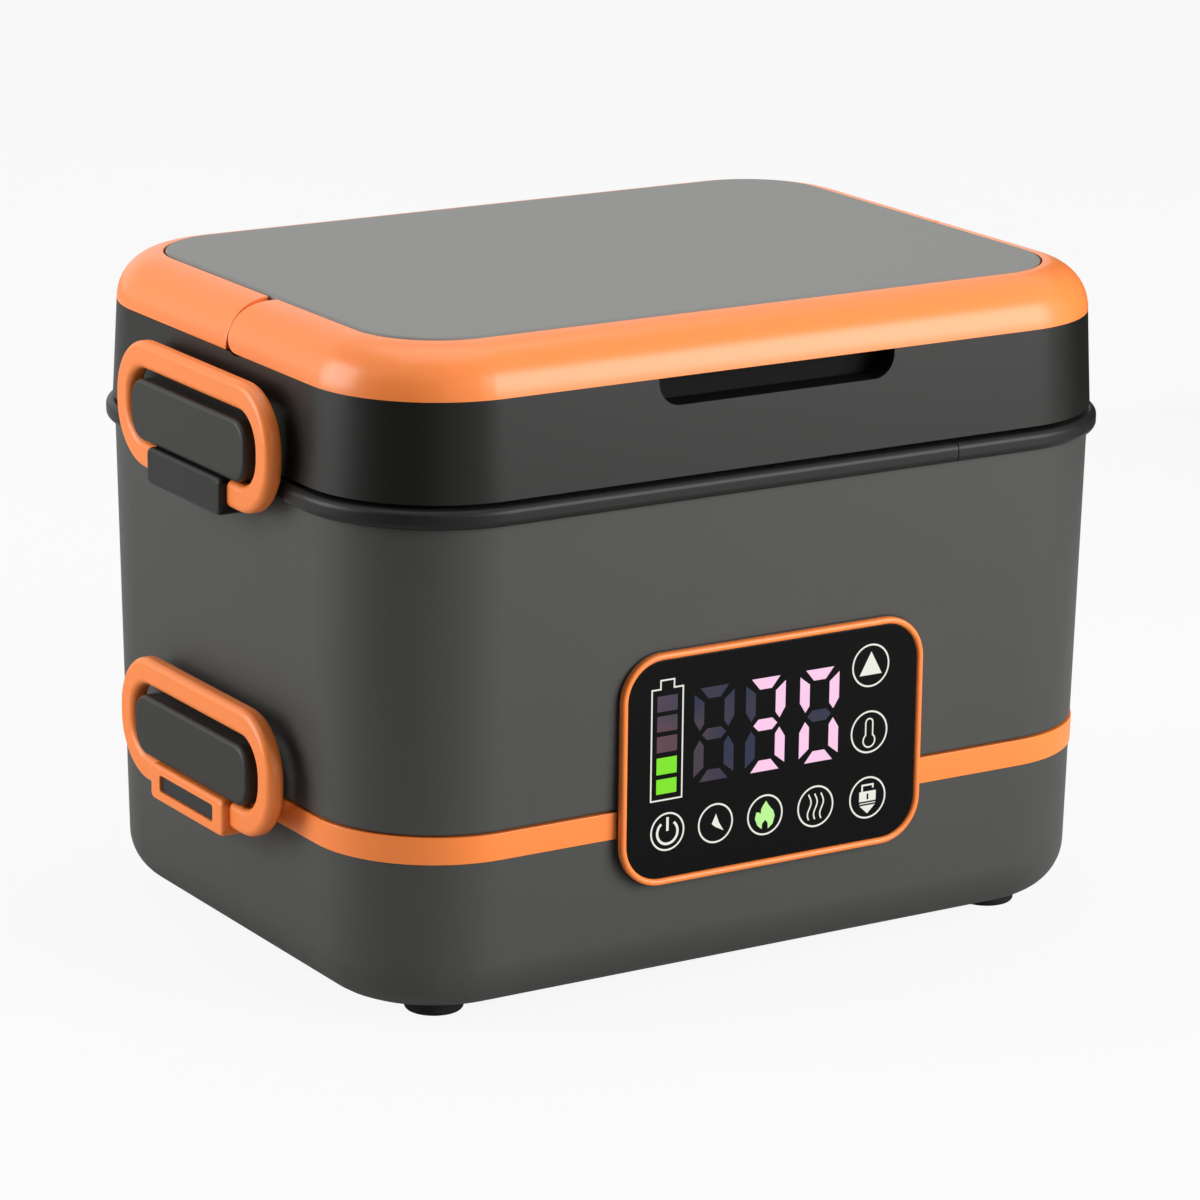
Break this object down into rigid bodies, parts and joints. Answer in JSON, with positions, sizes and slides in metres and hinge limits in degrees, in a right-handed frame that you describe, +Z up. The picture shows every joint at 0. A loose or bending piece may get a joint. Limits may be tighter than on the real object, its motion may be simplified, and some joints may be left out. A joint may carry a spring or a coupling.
{
  "type": "electric lunch box",
  "caption": "Rounded box of a battery base, a heated body with a lit display and a lift-off lid, joined by side latches, with a folding carry handle round the lid.",
  "frame": {"origin": "on the surface it stands on, under the middle of the box", "axes": "+X to the right along the front, +Y to the back, +Z up"},
  "size_m": [0.2608, 0.182, 0.1837],
  "materials": {
    "dark_plastic": "fine matt, lightly grained",
    "orange_plastic": "satin",
    "grey_panel": "fine matt",
    "black_plastic": "matt",
    "display_glass": "polished",
    "stainless": "brushed",
    "pin_steel": "bright",
    "cell_case": "shrink sleeve",
    "plate_aluminium": "as cast",
    "contact_brass": "bright",
    "board_green": "solder mask",
    "liner_white": "satin",
    "foam": "open foam",
    "silicone": "soft",
    "rubber_black": "soft"
  },
  "bodies": {
    "base": {"base_shell": "dark_plastic", "base_band": "orange_plastic", "base_deck": "black_plastic", "feet": "rubber_black", "base_screws": "pin_steel", "battery_cells": "cell_case", "cell_holder": "black_plastic", "battery_straps": "stainless", "charge_board": "board_green", "charge_inlet": "black_plastic", "contact_block": "black_plastic", "bracket_lower_left": "orange_plastic", "bracket_lower_right": "orange_plastic", "bracket_inlays": "black_plastic"},
    "body": {"body_shell": "dark_plastic", "rim_ring": "dark_plastic", "pot_collar": "black_plastic", "food_pot": "stainless", "heating_plate": "plate_aluminium", "heater_pads": "plate_aluminium", "thermostat": "black_plastic", "inner_liner": "liner_white", "insulation": "foam", "display_housing": "black_plastic", "glass_panel": "display_glass", "panel_bezel": "orange_plastic", "control_board": "board_green", "contact_pins": "contact_brass", "pin_block": "black_plastic", "boss_lower_left": "dark_plastic", "boss_lower_right": "dark_plastic", "bracket_upper_left": "dark_plastic", "bracket_upper_right": "dark_plastic", "body_screws": "pin_steel"},
    "lid": {"lid_shell": "dark_plastic", "lid_liner": "liner_white", "lid_seal": "silicone", "lid_foam": "foam", "top_panel": "grey_panel", "rear_trim": "orange_plastic", "boss_upper_left": "dark_plastic", "boss_upper_right": "dark_plastic", "handle_pivots": "pin_steel", "lid_screws": "pin_steel"},
    "handle": {"handle": "orange_plastic"},
    "latch_upper_left": {"loop_upper_left": "orange_plastic", "pin_upper_left": "pin_steel"},
    "latch_upper_right": {"loop_upper_right": "orange_plastic", "pin_upper_right": "pin_steel"},
    "latch_lower_left": {"loop_lower_left": "orange_plastic", "pin_lower_left": "pin_steel"},
    "latch_lower_right": {"loop_lower_right": "orange_plastic", "pin_lower_right": "pin_steel"}
  },
  "joints": [
    {"name": "body_lift", "type": "slide", "parent": "base", "child": "body", "axis": [0, 0, 1], "range_m": [0, 0.035]},
    {"name": "lid_lift", "type": "slide", "parent": "body", "child": "lid", "axis": [0, 0, 1], "range_m": [0, 0.035]},
    {"name": "handle_fold", "type": "hinge", "parent": "lid", "child": "handle", "pos_m": [0, -0.0094, 0.178], "axis": [-1, 0, 0], "range_deg": [0, 90]},
    {"name": "latch_upper_left_turn", "type": "hinge", "parent": "body", "child": "latch_upper_left", "pos_m": [-0.1257, 0, 0.13575], "axis": [0, -1, 0], "range_deg": [0, 150]},
    {"name": "latch_upper_right_turn", "type": "hinge", "parent": "body", "child": "latch_upper_right", "pos_m": [0.1257, 0, 0.13575], "axis": [0, 1, 0], "range_deg": [0, 150]},
    {"name": "latch_lower_left_turn", "type": "hinge", "parent": "base", "child": "latch_lower_left", "pos_m": [-0.1257, 0, 0.04735], "axis": [0, -1, 0], "range_deg": [0, 150]},
    {"name": "latch_lower_right_turn", "type": "hinge", "parent": "base", "child": "latch_lower_right", "pos_m": [0.1257, 0, 0.04735], "axis": [0, 1, 0], "range_deg": [0, 150]}
  ],
  "couplings": [
    {"joint": "latch_upper_left_turn", "follows": "lid_lift", "rad_per_m": 74.7},
    {"joint": "latch_upper_right_turn", "follows": "lid_lift", "rad_per_m": 74.7},
    {"joint": "latch_lower_left_turn", "follows": "body_lift", "rad_per_m": 74.7},
    {"joint": "latch_lower_right_turn", "follows": "body_lift", "rad_per_m": 74.7}
  ]
}
